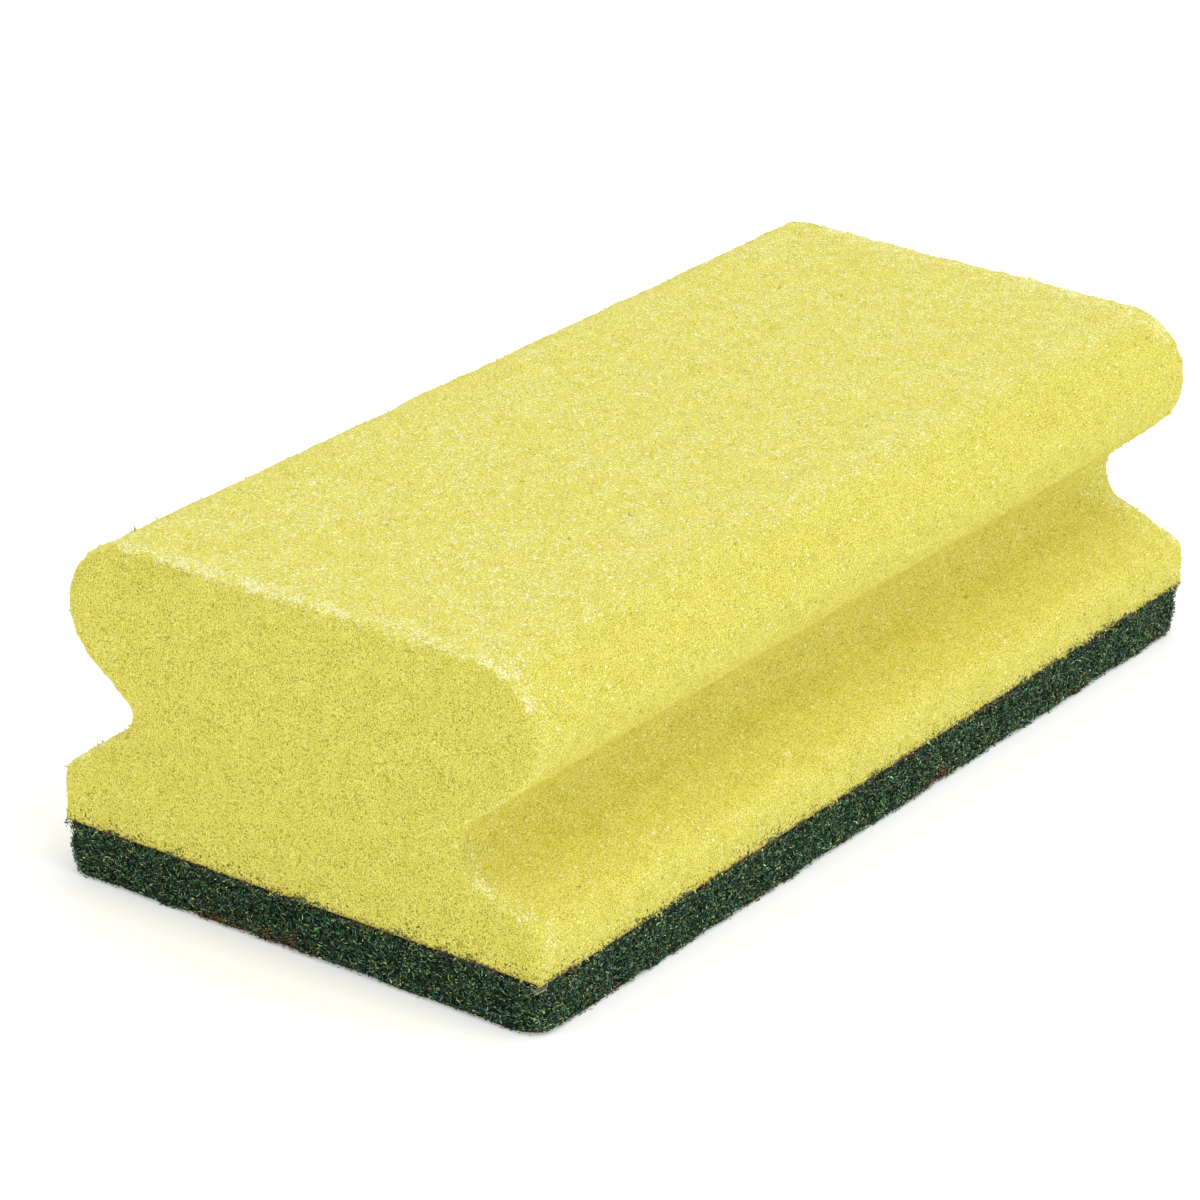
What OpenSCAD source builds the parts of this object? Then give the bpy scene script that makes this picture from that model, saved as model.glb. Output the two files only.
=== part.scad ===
// Cleaning sponge with finger grooves: a contour-cut foam body on a scouring pad.
// The origin is the middle of the pad's underside, +X runs along the sponge, +Z is up.
// The front is the side at -Y and the back is the side at +Y.

/* [Sponge] */
// Length from one cut end to the other
sponge_l = 150; // [60:1:250]
// Width over the foot of the foam and over the pad
sponge_w = 70; // [56:1:120]
// Height of the foam above the pad
foam_h = 37.5; // [30:0.5:60]
// Thickness of the scouring pad
pad_t = 7; // [3:0.5:15]

/* [Rounded edges] */
// Radius of the two long edges of the head; a thin head takes less
head_r = 8.5; // [4:0.5:9]
// Radius of the two long edges of the foot; a low foot takes less
foot_r = 3; // [1:0.5:3.5]

/* [Front side] */
// How far the head stays inside the foot at the front
front_head_inset = 2; // [0:0.5:6]
// Depth of the front finger groove, measured in from the side of the foot
front_groove_depth = 12.5; // [6:0.5:16]
// Radius at the bottom of the front finger groove
front_groove_r = 4.5; // [2:0.5:6]
// Height of the front finger groove above the pad
front_groove_h = 14; // [11:0.5:17]
// Height of the upright side of the foot at the front
front_side_h = 4; // [2:0.5:6]

/* [Back side] */
// How far the head stays inside the foot at the back
back_head_inset = 0.5; // [0:0.5:6]
// Depth of the back finger groove, measured in from the side of the foot
back_groove_depth = 10; // [6:0.5:16]
// Radius at the bottom of the back finger groove
back_groove_r = 2.5; // [1.5:0.5:5]
// Height of the back finger groove above the pad
back_groove_h = 16; // [12:0.5:19]
// Height of the upright side of the foot at the back
back_side_h = 5.5; // [2:0.5:7]

/* [Hidden] */
$fn = 96;
half_w = sponge_w / 2;
// Least height kept between two roundings that follow each other up a side
least_flat = 0.5;

// An arc of the section is [distance from the middle, height above the pad, radius].
function centre(arc) = [arc[0], arc[1]];
function radius(arc) = arc[2];
function opposite(arc) = [-arc[0], arc[1], arc[2]];

// Arc at the bottom of a finger groove
function groove_arc(depth, r, h) = [half_w - depth + r, h, r];

// Arc of a head edge, limited by the height of the head above its groove
function head_arc(head_inset, groove) =
    let (r = min(head_r, (foam_h - groove[1] - radius(groove) - least_flat) / 2))
    [half_w - head_inset - r, foam_h - r, r];

// Arc of a foot edge, limited by the upright side below it and by the groove above it
function foot_arc(side_h, groove) =
    let (r = min(foot_r, side_h - least_flat, groove[1] - radius(groove) - side_h - least_flat))
    [half_w - r, side_h, r];

// Direction from the centre of the first arc to where the straight line that touches both
// arcs, and passes between them, meets it. turn is 1 or -1 and picks one of the two lines.
function touch_direction(first, second, turn) =
    let (
        apart = centre(second) - centre(first),
        along = atan2(apart[1], apart[0]),
        opening = acos((radius(first) + radius(second)) / norm(apart))
    )
    [cos(along + turn * opening), sin(along + turn * opening)];

// Straight stretches of one side, from the pad up to the head. The centres of the foot and
// head arcs stand where those edges are rounded later.
function side_points(head, groove, foot) =
    let (
        under_head = touch_direction(head, groove, 1),
        over_foot = touch_direction(groove, foot, -1)
    )
    [
        [half_w, 0],
        [half_w, foot[1]],
        centre(foot),
        centre(foot) - radius(foot) * over_foot,
        centre(groove) + radius(groove) * over_foot,
        centre(groove) - radius(groove) * under_head,
        centre(head) + radius(head) * under_head,
        centre(head),
        [head[0], foam_h]
    ];

// A list of points on the other side of the middle, in the opposite order
function opposite_points(points) = [for (i = [len(points) - 1 : -1 : 0]) [-points[i][0], points[i][1]]];

// The disc that an arc belongs to
module disc(arc) {
    translate(centre(arc)) circle(r = radius(arc));
}

// Section of the foam across its length: the outline's straight stretches, the four
// rounded edges added, and the bottoms of the two finger grooves taken out.
module foam_section() {
    front_groove = groove_arc(front_groove_depth, front_groove_r, front_groove_h);
    front_head = head_arc(front_head_inset, front_groove);
    front_foot = foot_arc(front_side_h, front_groove);
    back_groove = groove_arc(back_groove_depth, back_groove_r, back_groove_h);
    back_head = head_arc(back_head_inset, back_groove);
    back_foot = foot_arc(back_side_h, back_groove);
    front_points = side_points(front_head, front_groove, front_foot);
    back_points = side_points(back_head, back_groove, back_foot);
    difference() {
        union() {
            polygon(concat(back_points, opposite_points(front_points)));
            disc(back_head);
            disc(back_foot);
            disc(opposite(front_head));
            disc(opposite(front_foot));
        }
        disc(back_groove);
        disc(opposite(front_groove));
    }
}

// Foam body: the section carried from one cut end to the other
module foam_body() {
    color([0.87, 0.83, 0.36])
        translate([-sponge_l / 2, 0, pad_t])
            rotate([90, 0, 90])
                linear_extrude(height = sponge_l) foam_section();
}

// Scouring pad: a flat slab under the whole foot, cut flush with the foam
module scouring_pad() {
    color([0.11, 0.22, 0.18])
        translate([-sponge_l / 2, -half_w, 0])
            cube([sponge_l, sponge_w, pad_t]);
}

foam_body();
scouring_pad();
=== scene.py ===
"""Cleaning sponge: contour-cut yellow foam with two finger grooves, on a dark green scouring pad.

Lengths are in metres. +X runs along the sponge, -Y is its front and +Z is up; z = 0 is the pad's underside.
"""
import logging
import math
from dataclasses import dataclass, field
from enum import Enum
from functools import cached_property
from itertools import product

import bpy
import numpy as np
from mathutils import Matrix, Vector

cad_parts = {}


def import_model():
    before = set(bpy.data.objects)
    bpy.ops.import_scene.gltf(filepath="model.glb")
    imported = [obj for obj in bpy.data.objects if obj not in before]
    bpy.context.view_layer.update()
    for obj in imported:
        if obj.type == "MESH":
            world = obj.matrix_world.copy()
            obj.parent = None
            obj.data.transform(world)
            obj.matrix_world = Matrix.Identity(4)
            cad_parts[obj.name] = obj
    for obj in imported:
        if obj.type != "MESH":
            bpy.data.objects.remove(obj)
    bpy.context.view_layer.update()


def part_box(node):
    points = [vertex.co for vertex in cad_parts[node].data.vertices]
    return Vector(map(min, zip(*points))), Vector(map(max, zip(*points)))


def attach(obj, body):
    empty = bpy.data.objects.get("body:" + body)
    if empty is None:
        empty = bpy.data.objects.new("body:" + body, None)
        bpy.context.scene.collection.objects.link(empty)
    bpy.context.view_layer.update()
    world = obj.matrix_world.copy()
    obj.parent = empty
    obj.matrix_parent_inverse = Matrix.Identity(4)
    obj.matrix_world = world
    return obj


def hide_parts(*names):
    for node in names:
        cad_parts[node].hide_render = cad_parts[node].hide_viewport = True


Array = np.ndarray
Chance = np.random.Generator
Socket = bpy.types.NodeSocket
Value = Socket | float
Colour = Socket | tuple
MM = 0.001
log = logging.getLogger("sponge")


class Side(Enum):
    """The two long sides, as the sign of their Y."""

    FRONT = -1
    BACK = 1


# Numbers in space

@dataclass(frozen=True)
class ValueNoise:
    """Smooth random numbers in space, from -1 to 1: random values on a repeating cubic lattice, blended between its
    points with the weight 3w^2 - 2w^3 along each axis."""

    seed: int
    spacing: float
    count: int = 48

    def at(self, points: Array) -> Array:
        """Reads the noise at many points.

        Args:
            points: places in metres, as an array of shape (n, 3).

        Returns:
            One number from -1 to 1 for each point.
        """
        lattice = np.random.default_rng(self.seed).uniform(-1, 1, (self.count,) * 3)
        scaled = points / self.spacing
        cell = np.floor(scaled).astype(int)
        part = scaled - cell
        weight = part * part * (3 - 2 * part)
        total = np.zeros(len(points))
        for corner in product((0, 1), repeat=3):
            index = (cell + corner) % self.count
            share = np.where(corner, weight, 1 - weight).prod(axis=1)
            total += share * lattice[index[:, 0], index[:, 1], index[:, 2]]
        return total


def smooth_step(values: Array, low: float, high: float) -> Array:
    """Rises from 0 at low to 1 at high along 3t^2 - 2t^3, and stays level outside."""
    t = np.clip((values - low) / (high - low), 0, 1)
    return t * t * (3 - 2 * t)


def noise_sum(layers: tuple, points: Array) -> Array:
    """Adds up layers of noise at many points; each layer is a seed, a spacing and a height."""
    return sum(ValueNoise(seed, spacing).at(points) * height for seed, spacing, height in layers)


def unit(vectors: Array) -> Array:
    """Divides each vector by its length; one of no length stays as it is."""
    return vectors / np.maximum(np.linalg.norm(vectors, axis=-1, keepdims=True), 1e-18)


# Meshes

def spread(x: Array | float, y: Array | float, z: Array | float) -> Array:
    """Makes a grid of points from three arrays or numbers that spread over its rows and columns."""
    return np.stack(np.broadcast_arrays(x, y, z), axis=-1)


@dataclass
class Sheets:
    """Gathers grids of points into one closed mesh."""

    points: list = field(default_factory=list)
    quads: list = field(default_factory=list)
    polygons: list = field(default_factory=list)
    count: int = 0

    def add_grid(self, grid: Array, flip: bool = False) -> Array:
        """Adds a grid of points and the quads between them.

        Args:
            grid: points of shape (rows, columns, 3).
            flip: True to turn the quads' faces round.

        Returns:
            The number of each point, of shape (rows, columns).
        """
        rows, columns = grid.shape[:2]
        index = np.arange(rows * columns).reshape(rows, columns) + self.count
        corners = (index[:-1, :-1], index[:-1, 1:], index[1:, 1:], index[1:, :-1])
        quads = np.stack(corners[::-1] if flip else corners, axis=-1).reshape(-1, 4)
        self.points.append(grid.reshape(-1, 3))
        self.quads.append(quads)
        self.count += rows * columns
        return index

    def welded(self) -> tuple[Array, Array, list]:
        """Joins points that share a place to 0.1 micrometre.

        Returns:
            The points, the quads and the other polygons, numbered again.
        """
        points = np.concatenate(self.points)
        _, first, number = np.unique(np.round(points, 7), axis=0, return_index=True, return_inverse=True)
        number = number.reshape(-1)
        polygons = [number[np.asarray(polygon)].tolist() for polygon in self.polygons]
        return points[first], number[np.concatenate(self.quads)], polygons


def vertex_normals(points: Array, faces: Array) -> Array:
    """Works out the outward direction at each point as the sum of its quads' normals, where a quad's normal is the
    cross product of its diagonals.

    Args:
        points: places of shape (n, 3).
        faces: quads of shape (m, 4).

    Returns:
        Unit directions of shape (n, 3).
    """
    a, b, c, d = (points[faces[:, i]] for i in range(4))
    normal = np.cross(c - a, d - b)
    total = np.zeros_like(points)
    for corner in range(4):
        for axis in range(3):
            total[:, axis] += np.bincount(faces[:, corner], normal[:, axis], len(points))
    return unit(total)


@dataclass
class Skin:
    """A rough surface that other pieces are scattered over."""

    points: Array
    quads: Array
    normals: Array

    def areas(self) -> Array:
        """Area of each quad: half the length of the cross product of its diagonals."""
        a, b, c, d = (self.points[self.quads[:, i]] for i in range(4))
        return np.linalg.norm(np.cross(c - a, d - b), axis=1) / 2

    def scatter(self, wanted: Array, count: int, random: Chance) -> tuple:
        """Draws places on the skin.

        Args:
            wanted: for each quad, how many it should get for its area, against the others.
            count: how many places.
            random: the source of chance.

        Returns:
            The places, their outward directions and the quads that they are on.
        """
        share = self.areas() * wanted
        chosen = self.quads[random.choice(len(self.quads), count, p=share / share.sum())]
        u, v = random.random((2, count, 1))
        weight = np.stack([(1 - u) * (1 - v), u * (1 - v), u * v, (1 - u) * v], axis=1)
        place = (self.points[chosen] * weight).sum(axis=1)
        return place, unit((self.normals[chosen] * weight).sum(axis=1)), chosen


def across(directions: Array, random: Chance) -> tuple[Array, Array]:
    """Picks two directions at right angles to each one and to each other, by cross products with a random one."""
    first = unit(np.cross(random.normal(0, 1, directions.shape), directions))
    return first, np.cross(directions, first)


def make_object(name: str, points: Array, faces: list, attributes: dict[str, Array],
                smooth: bool = True) -> bpy.types.Object:
    """Puts points, faces and attributes into a new mesh object at the origin.

    Args:
        name: the object's name.
        points: places of shape (n, 3).
        faces: lists of point numbers.
        attributes: for each name, one number or one colour of four numbers for each point.
        smooth: False for faceted shading.

    Returns:
        The object, linked to the scene.
    """
    mesh = bpy.data.meshes.new(name)
    mesh.from_pydata(points, [], faces)
    for label, values in attributes.items():
        colour = values.ndim == 2
        layer = mesh.attributes.new(label, "FLOAT_COLOR" if colour else "FLOAT", "POINT")
        layer.data.foreach_set("color" if colour else "value", values.astype(np.float32).ravel())
    if smooth:
        mesh.shade_smooth()
    mesh.update()
    made = bpy.data.objects.new(name, mesh)
    bpy.context.scene.collection.objects.link(made)
    return made


def dress(piece: bpy.types.Object, material: bpy.types.Material) -> None:
    """Gives a piece its material, logs its triangle count and gives it its place on the one body.

    Args:
        piece: the piece.
        material: its finish.
    """
    piece.data.materials.append(material)
    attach(piece, "root")
    mesh = piece.data
    log.info("%s: %d triangles", piece.name, len(mesh.loops) - 2 * len(mesh.polygons))


# Finishes

def add_node(tree: bpy.types.NodeTree, kind: str, inputs: dict | None = None, **settings) -> bpy.types.Node:
    """Adds a node.

    Args:
        tree: the nodes to add it to.
        kind: the node's type.
        inputs: for each input's name or number, a value or an output to link.
        **settings: properties of the node itself.

    Returns:
        The node.
    """
    node = tree.nodes.new(kind)
    for key, value in settings.items():
        setattr(node, key, value)
    for key, value in (inputs or {}).items():
        if isinstance(value, Socket):
            tree.links.new(value, node.inputs[key])
        else:
            node.inputs[key].default_value = value
    return node


class NodeBench:
    """A new material and short ways to add nodes to it."""

    def __init__(self, name: str) -> None:
        """Starts a material that holds only a Principled shader and its output."""
        self.material = bpy.data.materials.new(name)
        self.material.use_nodes = True
        self.tree = self.material.node_tree
        self.shader = next(n for n in self.tree.nodes if n.type == "BSDF_PRINCIPLED")

    @cached_property
    def place(self) -> Socket:
        """The piece's own coordinates, in metres."""
        return self.add("ShaderNodeTexCoord").outputs["Object"]

    def add(self, kind: str, inputs: dict | None = None, **settings) -> bpy.types.Node:
        """Adds a node to the material."""
        return add_node(self.tree, kind, inputs, **settings)

    def math(self, operation: str, a: Value, b: Value = 0.0, c: Value = 0.0) -> Socket:
        """Adds a Math node on up to three values and returns its result."""
        return self.add("ShaderNodeMath", {0: a, 1: b, 2: c}, operation=operation).outputs[0]

    def ramp(self, value: Socket, low: float, high: float, to_low: float = 0.0, to_high: float = 1.0) -> Socket:
        """Maps an output from low..high to to_low..to_high, smoothly and clamped."""
        inputs = {"Value": value, "From Min": low, "From Max": high, "To Min": to_low, "To Max": to_high}
        return self.add("ShaderNodeMapRange", inputs, interpolation_type="SMOOTHSTEP").outputs["Result"]

    def noise(self, size: float, detail: float = 2.0) -> Socket:
        """Adds noise with features of about a size in metres and returns its value."""
        inputs = {"Vector": self.place, "Scale": 1 / size, "Detail": detail}
        return self.add("ShaderNodeTexNoise", inputs).outputs[0]

    def cells(self, size: float, draw: int) -> tuple[Socket, Socket]:
        """Adds cells of about a size in metres; returns the distance from their middles and one of the three
        numbers of each cell's random colour."""
        cells = self.add("ShaderNodeTexVoronoi", {"Vector": self.place, "Scale": 1 / size})
        split = self.add("ShaderNodeSeparateColor", {0: cells.outputs["Color"]})
        return cells.outputs[0], split.outputs[draw]

    def attribute(self, name: str, output: str = "Fac") -> Socket:
        """Returns an output that reads an attribute of the piece."""
        return self.add("ShaderNodeAttribute", attribute_name=name).outputs[output]

    def blend(self, factor: Value, a: Colour, b: Colour, kind: str = "MIX") -> Socket:
        """Mixes two colours or outputs; the factor is the share of b."""
        node = self.add("ShaderNodeMix", {0: factor, 6: a, 7: b}, data_type="RGBA", blend_type=kind)
        return node.outputs[2]

    def bump(self, height: Socket, depth: float, strength: float) -> None:
        """Links a height as bump of a depth in metres to the shader."""
        node = self.add("ShaderNodeBump", {"Height": height, "Distance": depth, "Strength": strength})
        self.tree.links.new(node.outputs["Normal"], self.shader.inputs["Normal"])

    def colour(self, value: Socket) -> None:
        """Links a colour to the shader."""
        self.tree.links.new(value, self.shader.inputs["Base Color"])

    def set(self, **values: float | tuple) -> None:
        """Sets sockets of the shader that are the same all over; an underscore stands for a space."""
        for key, value in values.items():
            self.shader.inputs[key.replace("_", " ")].default_value = value


def srgb(red: int, green: int, blue: int) -> tuple[float, float, float, float]:
    """Turns a colour of three numbers up to 255 into linear light, by the sRGB curve, with an alpha of 1."""
    shares = (red / 255, green / 255, blue / 255)
    return (*(c / 12.92 if c <= 0.04045 else ((c + 0.055) / 1.055) ** 2.4 for c in shares), 1.0)


@dataclass(frozen=True)
class Specks:
    """Random cells of one colour: their size, their share where the amount is 1, how far they cover what is below
    them, the share over which a pick grows from faint to full, and the distances over which its edge fades."""

    colour: tuple
    cell: float
    most: float
    cover: float
    fade: float = 0.25
    edge: tuple = (0.7, 0.2)

    def mask(self, bench: NodeBench, amount: Socket) -> Socket:
        """Marks the middles of the picked cells.

        Args:
            bench: the material.
            amount: output from 0 to 1, how much of the most to show.

        Returns:
            An output that is up to 1 in the middle of a picked cell and 0 elsewhere.
        """
        distance, draw = bench.cells(self.cell, 1)
        limit = bench.math("MULTIPLY_ADD", amount, -self.most, 1.0)
        picked = bench.ramp(bench.math("SUBTRACT", draw, limit), 0.0, self.fade)
        return bench.math("MULTIPLY", picked, bench.ramp(distance, *self.edge))

    def over(self, bench: NodeBench, base: Colour, mask: Socket) -> Socket:
        """Lays the colour over a base where the mask is high."""
        return bench.blend(bench.math("MULTIPLY", mask, self.cover), base, self.colour)


@dataclass(frozen=True)
class FoamFinish:
    """Open-cell foam: every cell has its own tone, some are pale torn skins and some are dark open pores. On the
    top and the cut rims the pale cells are also painted highlight, on faces that look down the dark ones are
    painted shade, and some pale specks are painted glints.
    """

    deep: tuple = srgb(172, 162, 52)
    middle: tuple = srgb(226, 216, 86)
    light: tuple = srgb(253, 246, 140)
    # pale colour of torn skins, also used for the painted highlight and the painted glints
    skin: tuple = srgb(254, 255, 210)
    glue: tuple = srgb(170, 116, 76)
    grain: float = 0.17 * MM
    drift: float = 3.0 * MM
    drift_share: float = 0.12
    deep_tones: tuple = (0.36, 0.56)
    light_tones: tuple = (0.56, 0.76)
    patch: float = 11 * MM
    cluster: float = 1.2 * MM
    uneven: tuple = (0.35, 0.65)
    highlight_and_skin_wash: float = 0.08
    # dark open pores; where pits_and_shade comes from faces that look down they are painted shade
    pores: Specks = Specks(srgb(114, 104, 32), 0.26 * MM, 0.42, 0.65)
    # pale torn skins; where skins_and_highlight comes from the top and the rims they are painted highlight
    skins: Specks = Specks(skin, 0.28 * MM, 0.85, 1.0)
    # painted glints: pale specks that stand for highlights, most on the top and fewest on the ends
    glints: Specks = Specks(skin, 0.42 * MM, 0.10, 0.8, 0.03)
    crumbs: Specks = Specks(srgb(44, 46, 30), 0.34 * MM, 0.42, 0.85, 0.05)
    glints_bare: float = 0.45
    glints_lost: float = 0.6
    seam_height: float = 7.0 * MM
    crumb_reach: float = 3.0 * MM
    glue_reach: float = 0.4 * MM
    glue_cover: float = 0.4
    pore_depth: float = 0.8
    relief: float = 0.12 * MM

    def build(self) -> bpy.types.Material:
        """Makes the foam material.

        Returns:
            A material that reads the attributes skins_and_highlight (share of torn pale skins, with painted highlight
            on the top and the rims) and pits_and_shade (share of open pores, with painted shade on faces that look
            down).
        """
        bench = NodeBench("open_cell_foam")
        tone = bench.math("MULTIPLY_ADD", bench.noise(self.drift), self.drift_share, bench.noise(self.grain, 1.0))
        base = bench.blend(bench.ramp(tone, *self.deep_tones), self.deep, self.middle)
        base = bench.blend(bench.ramp(tone, *self.light_tones), base, self.light)

        patches = bench.ramp(bench.noise(self.patch, 3.0), *self.uneven, 0.8, 1.2)
        clusters = bench.ramp(bench.noise(self.cluster), *self.uneven, 0.7, 1.3)
        # torn skins, plus painted highlight on the top and along the cut rims, broken into patches
        skins_and_highlight = bench.math("MULTIPLY", bench.attribute("skins_and_highlight"), bench.math("MULTIPLY", patches, clusters))
        # open pores, plus painted shade on faces that look down
        pits_and_shade = bench.attribute("pits_and_shade")
        bare = bench.math("MULTIPLY_ADD", pits_and_shade, -self.glints_lost, self.glints_bare)
        height = bench.add("ShaderNodeSeparateXYZ", {0: bench.place}).outputs["Z"]
        near_seam = bench.ramp(height, self.seam_height, self.seam_height + self.crumb_reach, 1.0, 0.0)
        pores = self.pores.mask(bench, pits_and_shade)
        base = self.pores.over(bench, base, pores)
        # a pale wash that paints highlight where skins_and_highlight is high
        base = bench.blend(bench.math("MULTIPLY", skins_and_highlight, self.highlight_and_skin_wash), base, self.skin)
        # the painted glints follow the painted highlight and shun the dark cells
        shining = bench.math("ADD", skins_and_highlight, bare)
        for specks, amount in ((self.skins, skins_and_highlight), (self.glints, shining), (self.crumbs, near_seam)):
            base = specks.over(bench, base, specks.mask(bench, amount))

        height = bench.math("MULTIPLY_ADD", bench.noise(0.8 * MM), self.glue_reach, height)
        lowest = self.seam_height + self.glue_reach * 0.5
        glue = bench.ramp(height, lowest, lowest + self.glue_reach, self.glue_cover, 0.0)
        bench.colour(bench.blend(glue, base, self.glue))
        bench.bump(bench.math("MULTIPLY_ADD", pores, -self.pore_depth, tone), self.relief, 0.5)
        bench.set(Roughness=0.82, Specular_IOR_Level=0.3)
        return bench.material


@dataclass(frozen=True)
class FleckFinish:
    """Torn skins of foam cells that stand on the cut surface and catch the light."""

    olive: tuple = srgb(188, 178, 68)
    shade: tuple = srgb(230, 222, 94)
    # the palest flecks, which carry the painted highlight on the top and the rims
    pale: tuple = srgb(254, 255, 182)

    def build(self) -> bpy.types.Material:
        """Makes the fleck material, which reads the attribute paleness_and_highlight: pale flecks, with painted
        highlight on the top and the rims.
        """
        bench = NodeBench("foam_flecks")
        paleness_and_highlight = bench.attribute("paleness_and_highlight")
        base = bench.blend(bench.ramp(paleness_and_highlight, 0.0, 0.35), self.olive, self.shade)
        base = bench.blend(bench.ramp(paleness_and_highlight, 0.35, 1.0), base, self.pale)
        base = bench.blend(bench.ramp(bench.noise(0.3 * MM), 0.35, 0.7, 0.0, 0.3), base, self.shade)
        bench.colour(base)
        bench.bump(bench.noise(0.15 * MM), 0.03 * MM, 0.5)
        bench.set(Roughness=0.7, Specular_IOR_Level=0.3)
        return bench.material


@dataclass(frozen=True)
class WebFinish:
    """The pad's inner web: very dark green with darker gaps."""

    gap: tuple = srgb(3, 5, 3)
    web: tuple = srgb(50, 73, 50)
    cell_share: float = 0.5
    noise_share: float = 0.8
    tones: tuple = (0.4, 1.1)

    def build(self) -> bpy.types.Material:
        """Makes the material of the pad's slab."""
        bench = NodeBench("scourer_web")
        _, draw = bench.cells(0.4 * MM, 0)
        shade = bench.math("MULTIPLY", draw, self.cell_share)
        tone = bench.math("MULTIPLY_ADD", bench.noise(0.3 * MM), self.noise_share, shade)
        bench.colour(bench.blend(bench.ramp(tone, *self.tones), self.gap, self.web))
        bench.bump(tone, 0.3 * MM, 0.9)
        bench.set(Roughness=0.8, Specular_IOR_Level=0.08)
        return bench.material


@dataclass(frozen=True)
class FibreFinish:
    """Resin-coated fibres; each has its own colour, with darker and paler grit along it."""

    def build(self) -> bpy.types.Material:
        """Makes the fibre material, which reads the attribute tint."""
        bench = NodeBench("scourer_fibre")
        grit = bench.ramp(bench.noise(0.2 * MM), 0.35, 0.65, 0.5, 1.7)
        grey = bench.add("ShaderNodeCombineColor", {0: grit, 1: grit, 2: grit}).outputs[0]
        bench.colour(bench.blend(1.0, bench.attribute("tint", "Color"), grey, "MULTIPLY"))
        bench.bump(bench.noise(0.12 * MM), 0.03 * MM, 0.6)
        bench.set(Roughness=0.6, Specular_IOR_Level=0.2)
        return bench.material


# The foam

@dataclass(frozen=True)
class Profile:
    """One side of the foam's section: upright foot, foot edge, slope, finger groove, underside and head edge. Arcs
    follow each other along the straight lines that touch both."""

    head_inset: float
    groove_depth: float
    groove_r: float
    groove_h: float
    side_h: float
    half_w: float
    foam_h: float
    head_r: float = 8.5 * MM
    foot_r: float = 3.0 * MM

    def arcs(self) -> tuple[tuple, tuple, tuple]:
        """Gives the foot, groove and head arcs, each as (distance out, height, radius)."""
        foot = (self.half_w - self.foot_r, self.side_h, self.foot_r)
        groove = (self.half_w - self.groove_depth + self.groove_r, self.groove_h, self.groove_r)
        head = (self.half_w - self.head_inset - self.head_r, self.foam_h - self.head_r, self.head_r)
        return foot, groove, head

    @staticmethod
    def touch(first: tuple, second: tuple, turn: int) -> Array:
        """Finds where the line that touches two arcs, and passes between them, meets the first: the direction between
        the centres, turned by the angle whose cosine is the radii's sum over the distance.

        Args:
            first: an arc.
            second: the next arc.
            turn: 1 or -1, for one of the two such lines.

        Returns:
            A unit direction from the first arc's centre.
        """
        apart = np.subtract(second[:2], first[:2])
        angle = math.atan2(apart[1], apart[0]) + turn * math.acos((first[2] + second[2]) / np.linalg.norm(apart))
        return np.array([math.cos(angle), math.sin(angle)])

    def reach(self, height: Array) -> Array:
        """Distance of the side from the middle at each height: a circle's half chord on each arc, and straight lines
        between them.

        Args:
            height: heights in metres.

        Returns:
            Distances in metres.
        """
        foot, groove, head = self.arcs()
        over_foot = self.touch(groove, foot, -1)
        under_head = self.touch(head, groove, 1)
        knots = np.array([
            np.subtract(foot[:2], foot[2] * over_foot),
            np.add(groove[:2], groove[2] * over_foot),
            np.subtract(groove[:2], groove[2] * under_head),
            np.add(head[:2], head[2] * under_head),
        ])

        def chord(arc: tuple) -> Array:
            """Half chord of an arc at each height."""
            return np.sqrt(np.maximum(arc[2] ** 2 - (height - arc[1]) ** 2, 0))

        line = np.interp(height, knots[:, 1], knots[:, 0])
        stretches = [height < self.side_h, height < knots[0, 1], height < knots[1, 1], height < knots[2, 1],
                     height < knots[3, 1]]
        shapes = [np.full_like(height, self.half_w), foot[0] + chord(foot), line, groove[0] - chord(groove), line]
        return np.select(stretches, shapes, head[0] + chord(head))


@dataclass(frozen=True)
class Marks:
    """Shares of the foam's cells that carry a mark: all over, and what each place adds or takes away."""

    all_over: float
    low: float = 0.0
    top: float = 0.0
    end: float = 0.0
    under: float = 0.0
    seam: float = 0.0
    rim: float = 0.0
    rim_end: float = 0.0


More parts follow.
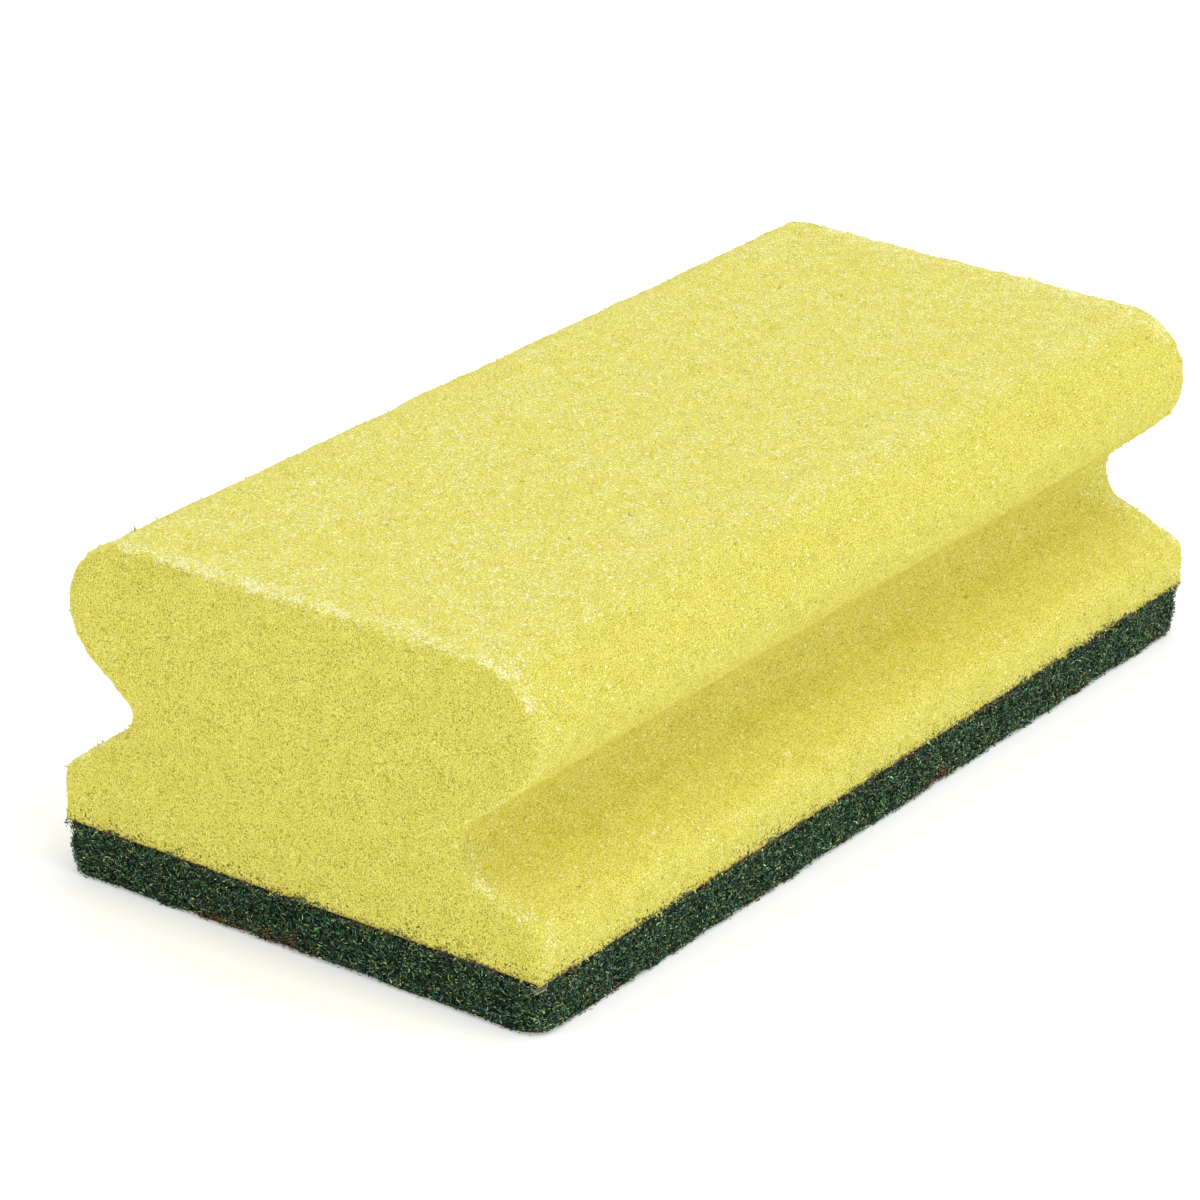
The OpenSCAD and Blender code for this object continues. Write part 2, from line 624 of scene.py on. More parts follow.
@dataclass
class FoamBody:
    """The contour-cut foam: a closed skin of five fine grids and a coarse base, with softly worn cut rims and a
    grainy surface."""

    low: Array
    high: Array
    step: float = 0.64 * MM
    rim_r: float = 0.8 * MM
    rim_fade: float = 2.0 * MM
    rim_highlight_width: float = 3.2 * MM
    brink_width: float = 0.9 * MM
    rim_flat: float = 0.35
    blotches: tuple = ((14, 1.4 * MM, 1.6), (15, 11 * MM, 0.5))
    blotch_base: float = 0.85
    seam_reach: float = 3.0 * MM
    swell: float = 0.20 * MM
    layers: tuple = ((11, 9.0 * MM, 0.10 * MM), (12, 2.2 * MM, 0.07 * MM), (13, 0.75 * MM, 0.19 * MM))
    grain_fade: float = 1.2 * MM
    touching: float = 0.03 * MM
    height_samples: int = 40001
    outline_samples: int = 8000
    batches: int = 100
    low_part: tuple = (14 * MM, 24 * MM)
    high_part: tuple = (20 * MM, 34 * MM)
    end_turn: tuple = (0.75, 0.98)
    rim_tilt: tuple = (0.1, 0.95)
    top_turn: tuple = (0.8, 1.0)
    under_turn: tuple = (-0.1, 0.7)
    # pale cells: the top and rim shares are painted sheen and highlight, the rest are torn skins
    pale: Marks = Marks(0.10, low=0.05, top=0.26, end=0.03, seam=0.08, rim=0.50, rim_end=0.65)
    # dark cells: the under share is painted shade, and the top and rim shares take dark cells away under the painted
    # highlight
    porous_and_shaded: Marks = Marks(0.20, top=-0.06, end=0.45, under=0.15, seam=0.80, rim=0.6)

    def __post_init__(self) -> None:
        """Works out the two sides from the solid's box."""
        half_w = (self.high[1] - self.low[1]) / 2
        foam_h = self.high[2] - self.low[2]
        self.half_l = (self.high[0] - self.low[0]) / 2
        self.foam_h = foam_h
        self.sides = {
            Side.FRONT: Profile(2.0 * MM, 12.5 * MM, 4.5 * MM, 14.0 * MM, 4.0 * MM, half_w, foam_h),
            Side.BACK: Profile(0.5 * MM, 10.0 * MM, 2.5 * MM, 16.0 * MM, 5.5 * MM, half_w, foam_h),
        }

    def levels(self) -> Array:
        """Heights at which both sides are cut into rows: equal steps of the longer of the two arc lengths."""
        height = np.linspace(0, self.foam_h, self.height_samples)
        rise = np.diff(height)
        length = [np.hypot(rise, np.diff(side.reach(height))) for side in self.sides.values()]
        travelled = np.concatenate([[0], np.cumsum(np.maximum(*length))])
        rows = int(np.ceil(travelled[-1] / self.step)) + 1
        return np.interp(np.linspace(0, travelled[-1], rows), travelled, height)

    def stations(self) -> Array:
        """Places along X where the skin is cut into columns: even steps, and four finer ones at each worn rim."""
        inner = self.half_l - self.rim_r
        middle = np.linspace(-inner, inner, int(2 * inner / self.step) + 1)
        rim = inner + self.rim_r * np.linspace(0.25, 1, 4)
        return np.concatenate([-rim[::-1], middle, rim])

    def outline(self, spacing: float = 0.05 * MM) -> tuple[Array, Array]:
        """Samples the section's sides and top at even steps along their length.

        Args:
            spacing: length of a step.

        Returns:
            Points (y, height) and their outward directions.
        """
        height = self.foam_h * (1 - np.linspace(1, 0, self.outline_samples) ** 2)
        front = np.stack([-self.sides[Side.FRONT].reach(height), height], axis=1)
        back = np.stack([self.sides[Side.BACK].reach(height), height], axis=1)
        line = np.concatenate([front, back[::-1]])
        travelled = np.concatenate([[0], np.cumsum(np.linalg.norm(np.diff(line, axis=0), axis=1))])
        even = np.linspace(0, travelled[-1], int(travelled[-1] / spacing))
        line = np.stack([np.interp(even, travelled, line[:, axis]) for axis in range(2)], axis=1)
        along = np.gradient(line, axis=0)
        return line, unit(np.stack([-along[:, 1], along[:, 0]], axis=1))

    def surface(self) -> tuple[Array, Array, list]:
        """Builds the sharp skin: a grid over each side, the top and each end, and long faces for the base."""
        z = self.levels()
        x = self.stations()
        front = -self.sides[Side.FRONT].reach(z)
        back = self.sides[Side.BACK].reach(z)
        share = np.linspace(0, 1, int(np.ceil((back[-1] - front[-1]) / self.step)) + 1)
        width = front[:, None] + share * (back - front)[:, None]
        sheets = Sheets()
        numbers_front = sheets.add_grid(spread(x, front[:, None], z[:, None]))
        numbers_back = sheets.add_grid(spread(x, back[:, None], z[:, None]), flip=True)
        sheets.add_grid(spread(x, width[-1][:, None], z[-1]))
        first = sheets.add_grid(spread(x[0], width, z[:, None]), flip=True)
        last = sheets.add_grid(spread(x[-1], width, z[:, None]))
        sheets.quads.append(np.stack([numbers_front[0, 1:-2], numbers_back[0, 1:-2],
                                      numbers_back[0, 2:-1], numbers_front[0, 2:-1]], axis=1))
        sheets.polygons.append([*first[0, :], numbers_back[0, 1], numbers_front[0, 1]])
        sheets.polygons.append([*last[0, ::-1], numbers_front[0, -2], numbers_back[0, -2]])
        return sheets.welded()

    def wear_rims(self, points: Array) -> tuple[Array, Array]:
        """Rounds the cut rims. A point within one radius of a rim, along the skin, moves onto the quarter circle that
        touches both faces, at 45 degrees at the rim itself. The radius fades to nothing at the pad.

        Args:
            points: places on the sharp skin, of shape (n, 3).

        Returns:
            The moved points, and each point's distance from the nearest rim along the skin.
        """
        line, out = self.outline()
        from_end = self.half_l - np.abs(points[:, 0])
        on_end = from_end < 1e-6
        depth = np.zeros(len(points))
        normal = np.zeros((len(points), 2))
        for part in np.array_split(np.flatnonzero(from_end < self.rim_r), self.batches):
            gap = np.linalg.norm(points[part, None, 1:] - line[None], axis=2)
            nearest = gap.argmin(axis=1)
            depth[part] = gap[np.arange(len(part)), nearest]
            normal[part] = out[nearest]
        depth = np.where(on_end & (depth > self.touching), depth, 0)
        distance = np.where(on_end, depth, from_end)
        radius = self.rim_r * smooth_step(points[:, 2], 0, self.rim_fade) + 1e-9
        share = np.clip(1 - distance / radius, 0, 1)
        angle = np.where(on_end, math.pi / 2 - share * math.pi / 4, share * math.pi / 4)
        near = share > 0
        inward = np.where(near, radius * (1 - np.cos(angle)), depth)
        along = np.where(near, self.half_l - radius * (1 - np.sin(angle)), np.abs(points[:, 0]))
        moved = points.copy()
        moved[:, 0] = np.sign(points[:, 0]) * along
        moved[:, 1:] += normal * (depth - inward)[:, None]
        return moved, distance

    def grain(self, points: Array, normals: Array) -> Array:
        """Lifts the skin along its normals and roughens it with noise, from soft dents to cells; fades at the pad."""
        lift = (self.swell + noise_sum(self.layers, points)) * smooth_step(points[:, 2], 0, self.grain_fade)
        return points + normals * lift[:, None]

    def marks(self, points: Array, normals: Array, distance: Array) -> dict[str, Array]:
        """Says where the foam is pale and where its pores show. The top and the rims carry more pale cells, in
        blotches:
        painted sheen on the top and a painted highlight along the thin cut rims. Ends and the foam next to the pad
        carry more open pores, faces that look down carry more dark cells as painted shade, and the rims carry fewer.

        Args:
            points: places above the pad.
            normals: outward directions.
            distance: distance from the nearest rim.

        Returns:
            The attributes skins_and_highlight and pits_and_shade.
        """
        height, up = points[:, 2], normals[:, 2]
        end = smooth_step(np.abs(normals[:, 0]), *self.end_turn)
        tilt = smooth_step(up, *self.rim_tilt)
        # painted sheen: more pale cells where the surface faces up, high on the foam
        top = smooth_step(up, *self.top_turn) * smooth_step(height, *self.high_part)
        # painted highlight: a pale band along the cut rims that stands for light let through the thin rims
        rim = np.exp(-(distance / self.rim_highlight_width) ** 2) * (self.rim_flat + (1 - self.rim_flat) * tilt)
        blotches = self.blotch_base + noise_sum(self.blotches, points)
        seam = np.exp(-height / self.seam_reach)
        lower = 1 - smooth_step(height, *self.low_part)
        pale, porous_and_shaded = self.pale, self.porous_and_shaded
        # torn skins all over, plus the painted sheen on the top and the painted highlight along the rims
        skins_and_highlight = (pale.all_over + pale.low * lower + pale.top * top) * (1 - end) + pale.end * end + pale.seam * seam
        skins_and_highlight += pale.rim * rim * np.maximum(blotches, 0) * (1 - pale.rim_end * end)
        # painted shade: more dark cells on faces that look down, such as under the head
        under = smooth_step(-up, *self.under_turn)
        pits_and_shade = porous_and_shaded.all_over + porous_and_shaded.end * end + porous_and_shaded.under * under + porous_and_shaded.top * top + porous_and_shaded.seam * seam
        # fewer dark cells along the rims, as part of the painted highlight there
        return {"skins_and_highlight": np.clip(skins_and_highlight, 0, 1), "pits_and_shade": np.clip(pits_and_shade * (1 - porous_and_shaded.rim * rim), 0, 1)}

    def build(self) -> bpy.types.Object:
        """Builds the foam body as one closed mesh."""
        points, quads, polygons = self.surface()
        points, distance = self.wear_rims(points)
        normals = vertex_normals(points, quads)
        marks = self.marks(points, normals, distance)
        points = self.grain(points, normals)
        points[:, 2] += self.low[2]
        self.skin = Skin(points, quads, normals)
        self.skins_and_highlight = marks["skins_and_highlight"]
        self.brink = np.exp(-(distance / self.brink_width) ** 2)
        return make_object("foam_body_cut", points, quads.tolist() + polygons, marks)


@dataclass
class FoamFlecks:
    """Torn cell skins: low three-sided points with their bases sunk into the foam. Some are narrow and stand up, and
    roughen the outline. Crowding is how many there are all over, and what pale foam, the seam and a rim add to it.
    Paleness is the least, what skins_and_highlight adds and how much chance does, so flecks on the top and the rims
    carry painted highlight."""

    name: str
    count: int
    seed: int
    size: float = 0.20 * MM
    sunk: float = 0.05 * MM
    upright_share: float = 0.75
    seam_reach: float = 0.4 * MM
    hang: float = 0.50 * MM
    crowding: tuple = (0.2, 1.2, 9.0, 2.2)
    paleness_and_highlight: tuple = (0.28, 0.9, 0.25)
    size_spread: float = 0.3
    narrow: float = 0.6
    tall: tuple = (1.4, 3.9)
    low: tuple = (0.25, 0.6)
    corner_spread: float = 0.25
    reach_spread: tuple = (0.7, 1.3)
    lean: float = 0.5

    def build(self, foam: FoamBody) -> bpy.types.Object:
        """Scatters the points over the foam. Along the seam the lowest ones hang over the pad.

        Args:
            foam: the foam body, after it is built.

        Returns:
            The flecks as one object.
        """
        random = np.random.default_rng(self.seed)
        height = foam.skin.points[foam.skin.quads, 2].mean(axis=1) - foam.low[2]
        all_over, pale, seam, brink = self.crowding
        wanted = all_over + pale * foam.skins_and_highlight[foam.skin.quads].mean(axis=1)
        wanted += seam * np.exp(-height / self.seam_reach)
        wanted += brink * foam.brink[foam.skin.quads].mean(axis=1)
        place, normal, chosen = foam.skin.scatter(wanted, self.count, random)
        low_down = np.exp(-(place[:, 2] - foam.low[2]) / self.seam_reach)
        place[:, 2] -= self.hang * low_down * random.random(self.count)
        least, more, chance = self.paleness_and_highlight
        # paler where skins_and_highlight is high: painted highlight on flecks at the top and the rims
        skins_and_highlight = foam.skins_and_highlight[chosen].mean(axis=1)
        paleness_and_highlight = np.clip(least + more * skins_and_highlight + random.normal(0, chance, self.count), 0, 1)
        upright = random.random(self.count) < self.upright_share
        size = self.size * random.lognormal(0, self.size_spread, self.count) * np.where(upright, self.narrow, 1)
        tall, low = (random.uniform(*span, self.count) for span in (self.tall, self.low))
        height = size * np.where(upright, tall, low)
        first, second = across(normal, random)
        angle = np.arange(3) * 2 * math.pi / 3 + random.normal(0, self.corner_spread, (self.count, 3))
        ring = first[:, None] * np.cos(angle)[..., None] + second[:, None] * np.sin(angle)[..., None]
        ring *= (size[:, None] * random.uniform(*self.reach_spread, (self.count, 3)))[..., None]
        base = (place - normal * self.sunk)[:, None] + ring
        lean = ring[:, 0] * random.uniform(-self.lean, self.lean, (self.count, 1))
        tip = (place + normal * height[:, None] + lean)[:, None]
        corners = np.concatenate([base, tip], axis=1)
        faces = np.array([[0, 2, 1], [0, 1, 3], [1, 2, 3], [2, 0, 3]])
        faces = (np.arange(self.count)[:, None, None] * 4 + faces).reshape(-1, 3)
        attributes = {"paleness_and_highlight": np.repeat(paleness_and_highlight, 4)}
        return make_object(self.name, corners.reshape(-1, 3), faces.tolist(), attributes, smooth=False)


# The scouring pad

@dataclass
class PadSlab:
    """The pad's web as a rough slab, with worn lower edges and corners that are rounder towards the bottom."""

    low: Array
    high: Array
    step: float = 0.80 * MM
    edge_r: float = 0.5 * MM
    inset: float = 0.10 * MM
    corner_top: float = 0.9 * MM
    corner_bottom: float = 3.4 * MM
    corner_bend: float = 0.7
    layers: tuple = ((21, 7.0 * MM, 0.12 * MM), (22, 1.8 * MM, 0.22 * MM), (23, 0.8 * MM, 0.18 * MM))
    upright: float = 0.8

    def surface(self) -> tuple[Array, Array, list]:
        """Builds the sharp box from grids on its sides and underside, and long faces for its top."""
        low = self.low + [self.inset, self.inset, 0]
        high = self.high - [self.inset, self.inset, 0]
        x, y, z = (np.linspace(low[i], high[i], int((high[i] - low[i]) / self.step) + 1) for i in range(3))
        sheets = Sheets()
        front = sheets.add_grid(spread(x, y[0], z[:, None]))
        back = sheets.add_grid(spread(x, y[-1], z[:, None]), flip=True)
        left = sheets.add_grid(spread(x[0], y, z[:, None]), flip=True)
        right = sheets.add_grid(spread(x[-1], y, z[:, None]))
        sheets.add_grid(spread(x, y[:, None], z[0]), flip=True)
        sheets.quads.append(np.stack([front[-1, 1:-2], front[-1, 2:-1], back[-1, 2:-1], back[-1, 1:-2]], axis=1))
        sheets.polygons.append([front[-1, 0], front[-1, 1], back[-1, 1], *left[-1, ::-1][:-1]])
        sheets.polygons.append([*right[-1, :], back[-1, -2], front[-1, -2]])
        return sheets.welded()

    def wear(self, points: Array) -> Array:
        """Rounds the box. Each point moves to lie one edge radius from the nearest point of a box that is smaller by
        it. Seen from above, a square at each corner then becomes a quarter disc: a point keeps the larger of its two
        distances from the disc's centre.

        Args:
            points: places on the sharp box.

        Returns:
            The moved points.
        """
        edge = self.inset + self.edge_r
        core = np.clip(points, self.low + edge, self.high - [edge, edge, 0])
        away = points - core
        length = np.linalg.norm(away, axis=1, keepdims=True)
        worn = np.where(length > 0, core + away / np.maximum(length, 1e-12) * self.edge_r, points)
        height = (worn[:, 2:] - self.low[2]) / (self.high[2] - self.low[2])
        bend = np.clip(height, 0, 1) ** self.corner_bend
        radius = self.corner_bottom + (self.corner_top - self.corner_bottom) * bend
        half = (self.high[:2] - self.low[:2]) / 2 - self.inset
        past = np.maximum(np.abs(worn[:, :2]) - (half - radius), 0)
        length = np.maximum(np.linalg.norm(past, axis=1, keepdims=True), 1e-12)
        pull = past * (1 - past.max(axis=1, keepdims=True) / length)
        worn[:, :2] -= np.sign(worn[:, :2]) * pull
        return worn

    def build(self) -> bpy.types.Object:
        """Builds the slab and roughens it with three sizes of noise along its normals."""
        points, quads, polygons = self.surface()
        points = self.wear(points)
        normals = vertex_normals(points, quads)
        points += normals * noise_sum(self.layers, points)[:, None] * [1, 1, self.upright]
        points[:, 2] = np.clip(points[:, 2], self.low[2], self.high[2])
        self.skin = Skin(points, quads, normals)
        return make_object("scouring_pad_web", points, quads.tolist() + polygons, {})


@dataclass(frozen=True)
class Palette:
    """Colours of the fibres and how common each one is, and the places of marks."""

    colours: tuple = (srgb(36, 60, 41), srgb(68, 103, 70), srgb(106, 142, 94), srgb(56, 113, 98), srgb(68, 88, 108),
                      srgb(134, 130, 74), srgb(172, 184, 144))
    shares: tuple = (0.28, 0.33, 0.15, 0.07, 0.04, 0.09, 0.04)
    rust: tuple = srgb(128, 88, 48)
    plum: tuple = srgb(96, 54, 62)
    residue: tuple = srgb(170, 166, 130)
    rust_spots: tuple = ((-75 * MM, 11 * MM), (-75 * MM, 2 * MM), (13 * MM, -35 * MM))
    rust_reach: float = 4.5 * MM
    residue_spot: tuple = (-75 * MM, -35 * MM, 6.7 * MM)
    residue_reach: float = 1.3 * MM
    brightness: tuple = (0.16, 0.42)
    mark_spread: float = 0.3
    low_part: tuple = (0.5 * MM, 3.2 * MM)
    seam_part: tuple = (6.3 * MM, 7.0 * MM)
    patch: ValueNoise = ValueNoise(31, 9.0 * MM)
    patch_span: tuple = (0.15, 0.6)
    patch_share: float = 0.22
    rust_share: float = 0.65
    plum_share: float = 0.40
    residue_share: float = 0.8

    def tints(self, middle: Array, random: Chance) -> Array:
        """Gives each fibre a colour: rust in patches near the lower edge, plum at the seam, pale at one corner.

        Args:
            middle: fibre middles, with z = 0 at the pad's underside.
            random: the source of chance.

        Returns:
            Colours of shape (count, 4).
        """
        count = len(middle)
        tint = np.array(self.colours)[random.choice(len(self.colours), count, p=self.shares)]
        tint[:, :3] *= random.lognormal(*self.brightness, (count, 1))
        height = middle[:, 2]
        low_down = 1 - smooth_step(height, *self.low_part)
        patch = self.patch_share * smooth_step(self.patch.at(middle), *self.patch_span)
        for spot in self.rust_spots:
            gap = np.linalg.norm(middle[:, :2] - spot, axis=1)
            patch = np.maximum(patch, self.rust_share * np.exp(-(gap / self.rust_reach) ** 2))
        rusty = random.random(count) < patch * low_down
        seam = random.random(count) < self.plum_share * smooth_step(height, *self.seam_part)
        gap = np.linalg.norm(middle - self.residue_spot, axis=1)
        pale = random.random(count) < self.residue_share * (gap < self.residue_reach)
        for chosen, colour in ((rusty, self.rust), (seam, self.plum), (pale, self.residue)):
            tint[chosen] = np.array(colour) * random.lognormal(0, self.mark_spread, (chosen.sum(), 1))
        tint[:, 3] = 1
        return tint


class Wall(Enum):
    """Faces of the pad that carry fibres, as outward directions."""

    FRONT = (0, -1, 0)
    BACK = (0, 1, 0)
    LEFT = (-1, 0, 0)
    RIGHT = (1, 0, 0)
    UNDER = (0, 0, -1)


@dataclass
class Fibres:
    """Short fibre ends, or longer crimped fibres, on faces of the pad, as three-sided tubes. The inset keeps them
    away from the slab's sides; a negative one takes in its bulges too."""

    name: str
    walls: tuple[Wall, ...]
    count: int
    seed: int
    low: Array
    high: Array
    knots: int = 2
    radius: float = 0.065 * MM
    length: float = 0.34 * MM
    depth: float = 0.14 * MM
    proud: float = 0.04 * MM
    inset: float = -1.0 * MM
    facing: tuple = (0.2, 0.7)
    level: float = 0.6
    hug: float = 0.6
    radius_spread: float = 0.3
    length_spread: float = 0.4
    longest: float = 2.0
    arch: float = 0.3
    crimp: tuple = (0.02, 0.12)
    crimps: float = 1.5
    end_width: float = 0.75
    palette: Palette = Palette()

    def places(self, skin: Skin, random: Chance) -> tuple[Array, Array]:
        """Spreads fibre middles over the chosen faces of the slab.

        Args:
            skin: the slab's surface.
            random: the source of chance.

        Returns:
            Middles and outward directions, each of shape (count, 3).
        """
        facing = np.max([skin.normals @ np.array(wall.value) for wall in self.walls], axis=0)
        centre = skin.points[skin.quads].mean(axis=1)
        inside = (np.abs(centre[:, :2]) <= (self.high - self.low)[:2] / 2 - self.inset).all(axis=1)
        wanted = smooth_step(facing[skin.quads].mean(axis=1), *self.facing) * inside
        middle, out, _ = skin.scatter(wanted, self.count, random)
        return middle, out

    def paths(self, middle: Array, out: Array, random: Chance) -> Array:
        """Draws each fibre as a curve: a straight run along the face, an arch that grows with the square of the
        distance from the middle, and a sine crimp.

        Args:
            middle: fibre middles.
            out: outward directions.
            random: the source of chance.

        Returns:
            Points of shape (count, knots, 3).
        """
        count = len(middle)
        run = random.normal(0, 1, (count, 3)) * [1, 1, self.level]
        run = unit(run - out * (run * out).sum(axis=1, keepdims=True) * self.hug)
        bow, side = across(run, random)
        length = self.length * np.minimum(random.lognormal(0, self.length_spread, count), self.longest)
        arch = length * random.normal(0, self.arch, count)
        crimp = length * random.uniform(*self.crimp, count)
        phase = random.uniform(0, 2 * math.pi, (count, 1, 1))
        t = np.linspace(-0.5, 0.5, self.knots)[None, :, None]
        lift = random.normal(self.proud, self.depth, (count, 1, 1)) * out[:, None]
        curve = middle[:, None] + run[:, None] * t * length[:, None, None] + lift
        curve = curve + bow[:, None] * (4 * t * t - 0.5) * arch[:, None, None]
        return curve + side[:, None] * np.sin(2 * math.pi * self.crimps * t + phase) * crimp[:, None, None]

    def tubes(self, paths: Array, radius: Array) -> tuple[Array, list]:
        """Wraps tubes round the paths: at each knot a triangle across the path, smaller at the two ends.

        Args:
            paths: points of shape (count, knots, 3).
            radius: one radius for each fibre.

        Returns:
            Points and faces, with both ends closed.
        """
        count = len(paths)
        along = unit(np.gradient(paths, axis=1))
        helper = np.cross(along[:, :1], [0.31, 0.59, 0.75])
        first = unit(np.cross(along, helper))
        second = np.cross(along, first)
        taper = np.ones(self.knots)
        taper[[0, -1]] = self.end_width
        angle = np.arange(3) * 2 * math.pi / 3
        ring = first[:, :, None] * np.cos(angle)[:, None] + second[:, :, None] * np.sin(angle)[:, None]
        points = paths[:, :, None] + ring * (radius[:, None, None, None] * taper[:, None, None])
        index = np.arange(count * self.knots * 3).reshape(count, self.knots, 3)
        here, there = index[:, :-1], index[:, 1:]
        turned, turned_there = np.roll(here, -1, axis=2), np.roll(there, -1, axis=2)
        quads = np.stack([here, turned, turned_there, there], axis=-1).reshape(-1, 4)
        caps = np.concatenate([index[:, 0, ::-1], index[:, -1]])
        return points.reshape(-1, 3), quads.tolist() + caps.tolist()

    def build(self, skin: Skin) -> bpy.types.Object:
        """Builds all fibres as one object.

        Args:
            skin: the slab's surface.

        Returns:
            The fibres. None goes below the underside.
        """
        random = np.random.default_rng(self.seed)
        middle, out = self.places(skin, random)
        radius = self.radius * random.lognormal(0, self.radius_spread, len(middle))
        points, faces = self.tubes(self.paths(middle, out, random), radius)
        points[:, 2] = np.maximum(points[:, 2], self.low[2])
        tint = np.repeat(self.palette.tints(middle, random), self.knots * 3, axis=0)
        return make_object(self.name, points, faces, {"tint": tint})


@dataclass
class SeamFibres(Fibres):
    """Loose ends along the seam, over the foam's lowest edge, about a wavy line. Some crumbs lie higher."""

    spread: float = 0.20 * MM
    waves: tuple = ((61, 0.9 * MM, 0.50 * MM), (62, 3.0 * MM, 0.65 * MM))
    middle_height: float = -0.20 * MM
    stray_share: float = 0.22
    stray_reach: float = 0.8 * MM

    def places(self, skin: Skin, random: Chance) -> tuple[Array, Array]:
        """Spreads fibre middles along the four upper edges of the pad.

        Args:
            skin: the slab's surface, not needed here.
            random: the source of chance.

        Returns:
            Middles and outward directions, each of shape (count, 3).
        """
        size = self.high - self.low
        travel = random.uniform(0, 2 * (size[0] + size[1]), self.count)
        legs = np.cumsum([size[0], size[1], size[0], size[1]])
        leg = np.searchsorted(legs, travel)
        along = (legs[leg] - travel)[:, None]
        start = np.array([[-1, -1], [1, -1], [1, 1], [-1, 1]]) * size[:2] / 2
        heading = np.array([[1, 0], [0, 1], [-1, 0], [0, -1]])
        plan = start[leg] + heading[leg] * along
        stray = random.random(self.count) < self.stray_share
        flat = np.column_stack([plan, np.zeros(self.count)])
        line = self.middle_height + noise_sum(self.waves, flat)
        above = line + np.where(stray, random.exponential(self.stray_reach, self.count),
                                random.normal(0, self.spread, self.count))
        middle = np.column_stack([plan, self.high[2] + above])
        out = np.column_stack([heading[leg][:, 1], -heading[leg][:, 0], np.zeros(self.count)])
        return middle, out.astype(float)


# The studio

@dataclass(frozen=True)
class Camera:
    """The photograph's viewpoint, from the sponge's straight edges."""

    azimuth: float = -56.266
    elevation: float = 23.391
    roll: float = 2.228
    distance: float = 0.65924
    lens: float = 157.15
    sensor: float = 36.0
    clip: tuple = (0.01, 50.0)
    target: tuple = (-8.725 * MM, 3.335 * MM, 22.106 * MM)

    def build(self) -> None:
        """Places the camera on a ray from the target, looks back along it and rolls it."""
        azimuth, elevation = math.radians(self.azimuth), math.radians(self.elevation)
        back = Vector((math.sin(azimuth) * math.cos(elevation), -math.cos(azimuth) * math.cos(elevation),
                       math.sin(elevation)))
        data = bpy.data.cameras.new("photo_camera")
        data.lens = self.lens
        data.sensor_width = self.sensor
        data.clip_start, data.clip_end = self.clip
        camera = bpy.data.objects.new("photo_camera", data)
        turn = (-back).to_track_quat("-Z", "Y").to_matrix().to_4x4()
        roll = Matrix.Rotation(math.radians(self.roll), 4, "Z")
        camera.matrix_world = Matrix.Translation(Vector(self.target) + back * self.distance) @ turn @ roll
        bpy.context.scene.collection.objects.link(camera)
        bpy.context.scene.camera = camera


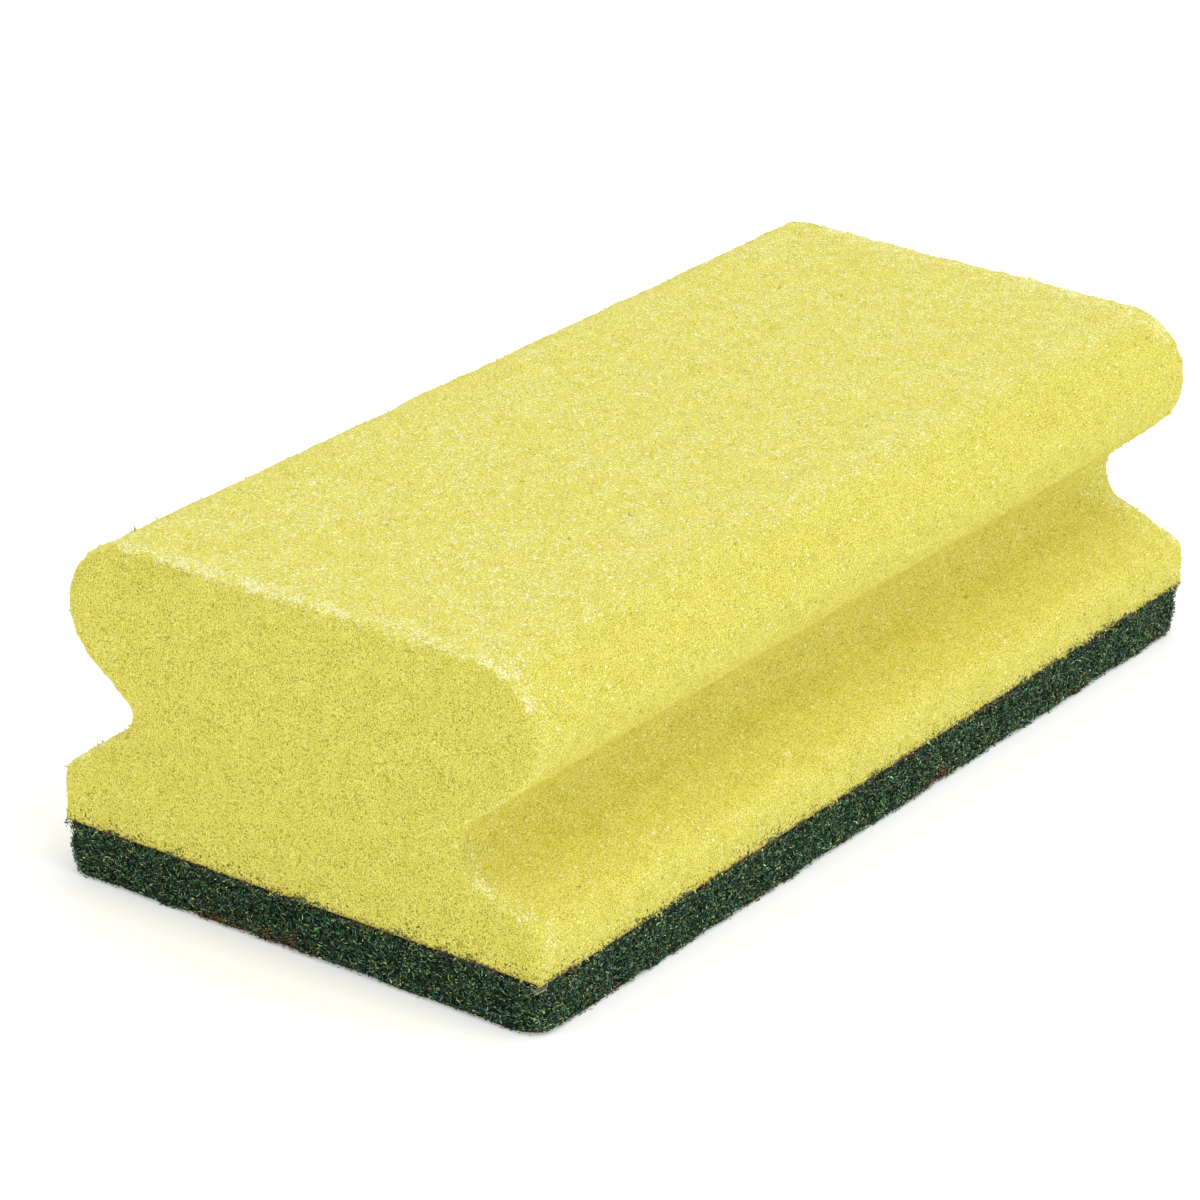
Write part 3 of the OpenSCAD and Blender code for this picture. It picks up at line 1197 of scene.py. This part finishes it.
@dataclass(frozen=True)
class Studio:
    """A white floor under soft light: an even sky and one wide lamp in front."""

    sky: float = 0.82
    lamp_power: float = 3.7
    lamp_size: float = 0.8
    lamp_place: tuple = (0.03, -0.40, 1.06)
    floor_size: float = 6.0
    floor_gap: float = 0.05 * MM
    floor_colour: tuple = (0.94, 0.94, 0.94, 1)
    floor_glow: float = 0.20
    floor_shown: float = 0.06

    def build(self) -> None:
        """Makes the sky, the lamp, the floor and the colour settings."""
        self.build_sky()
        self.build_lamp()
        self.build_floor()
        bpy.context.scene.view_settings.view_transform = "Standard"

    @staticmethod
    def seen_directly(tree: bpy.types.NodeTree) -> Socket:
        """Adds a value that is 1 for camera, mirror and glass rays and 0 for light that falls on things."""
        path = tree.nodes.new("ShaderNodeLightPath")
        total = path.outputs["Is Camera Ray"]
        for name in ("Is Glossy Ray", "Is Transmission Ray"):
            inputs = {0: total, 1: path.outputs[name]}
            total = add_node(tree, "ShaderNodeMath", inputs, operation="MAXIMUM").outputs[0]
        return total

    def build_sky(self) -> None:
        """Lights the scene evenly and shows as white."""
        world = bpy.data.worlds.new("studio")
        world.use_nodes = True
        tree = world.node_tree
        inputs = {"Value": self.seen_directly(tree), "To Min": self.sky, "To Max": 1.0}
        strength = add_node(tree, "ShaderNodeMapRange", inputs)
        background = tree.nodes["Background"]
        background.inputs["Color"].default_value = (1, 1, 1, 1)
        tree.links.new(strength.outputs["Result"], background.inputs["Strength"])
        bpy.context.scene.world = world

    def build_lamp(self) -> None:
        """Hangs a wide square lamp that looks at the sponge."""
        data = bpy.data.lights.new("softbox", "AREA")
        data.energy = self.lamp_power
        data.shape = "SQUARE"
        data.size = self.lamp_size
        lamp = bpy.data.objects.new("softbox", data)
        lamp.location = self.lamp_place
        lamp.rotation_mode = "QUATERNION"
        lamp.rotation_quaternion = (-Vector(self.lamp_place)).to_track_quat("-Z", "Y")
        bpy.context.scene.collection.objects.link(lamp)

    def build_floor(self) -> None:
        """Lays a pale floor a hair under the sponge. It glows a little and keeps its shadow."""
        half = self.floor_size / 2
        corners = np.array([(-half, -half, 0), (half, -half, 0), (half, half, 0), (-half, half, 0)], float)
        corners[:, 2] -= self.floor_gap
        floor = make_object("floor", corners, [[0, 1, 2, 3]], {})
        bench = NodeBench("floor_white")
        bench.set(Base_Color=self.floor_colour, Roughness=0.9, Specular_IOR_Level=0.0, Emission_Color=(1, 1, 1, 1))
        lift = bench.math("MULTIPLY_ADD", self.seen_directly(bench.tree), self.floor_shown, self.floor_glow)
        bench.tree.links.new(lift, bench.shader.inputs["Emission Strength"])
        floor.data.materials.append(bench.material)


@dataclass
class Sponge:
    """The whole sponge: the foam with its flecks, and the pad with its fibres."""

    foam_low: Array
    foam_high: Array
    pad_low: Array
    pad_high: Array

    def build_foam(self) -> None:
        """Builds and dresses the foam body and its flecks."""
        foam = FoamBody(self.foam_low, self.foam_high)
        body = foam.build()
        dress(body, FoamFinish().build())
        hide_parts("foam_body")
        flecks = FoamFlecks("foam_flecks", 46000, 41).build(foam)
        dress(flecks, FleckFinish().build())

    def build_pad(self) -> None:
        """Builds and dresses the pad's web and the fibres on its faces."""
        slab = PadSlab(self.pad_low, self.pad_high)
        web = slab.build()
        dress(web, WebFinish().build())
        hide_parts("scouring_pad")
        fibre = FibreFinish().build()
        box = (self.pad_low, self.pad_high)
        groups = (
            Fibres("pad_fibres_front", (Wall.FRONT,), 21500, 51, *box),
            Fibres("pad_fibres_back", (Wall.BACK,), 20500, 52, *box),
            Fibres("pad_fibres_ends", (Wall.LEFT, Wall.RIGHT), 19500, 53, *box),
            Fibres("pad_fibres_under", (Wall.UNDER,), 2800, 54, *box, knots=4, radius=0.08 * MM, length=2.4 * MM,
                   inset=2.5 * MM),
            SeamFibres("pad_fibres_seam", (), 8000, 55, *box, length=0.26 * MM, depth=0.06 * MM, proud=0.12 * MM),
        )
        for group in groups:
            dress(group.build(slab.skin), fibre)


def main() -> None:
    """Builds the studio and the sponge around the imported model."""
    logging.basicConfig(level=logging.INFO, format="%(name)s: %(message)s")
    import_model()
    Camera().build()
    Studio().build()
    foam_low, foam_high = (np.array(corner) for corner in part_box("foam_body"))
    pad_low, pad_high = (np.array(corner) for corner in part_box("scouring_pad"))
    sponge = Sponge(foam_low, foam_high, pad_low, pad_high)
    sponge.build_foam()
    sponge.build_pad()


if __name__ == "__main__":
    main()
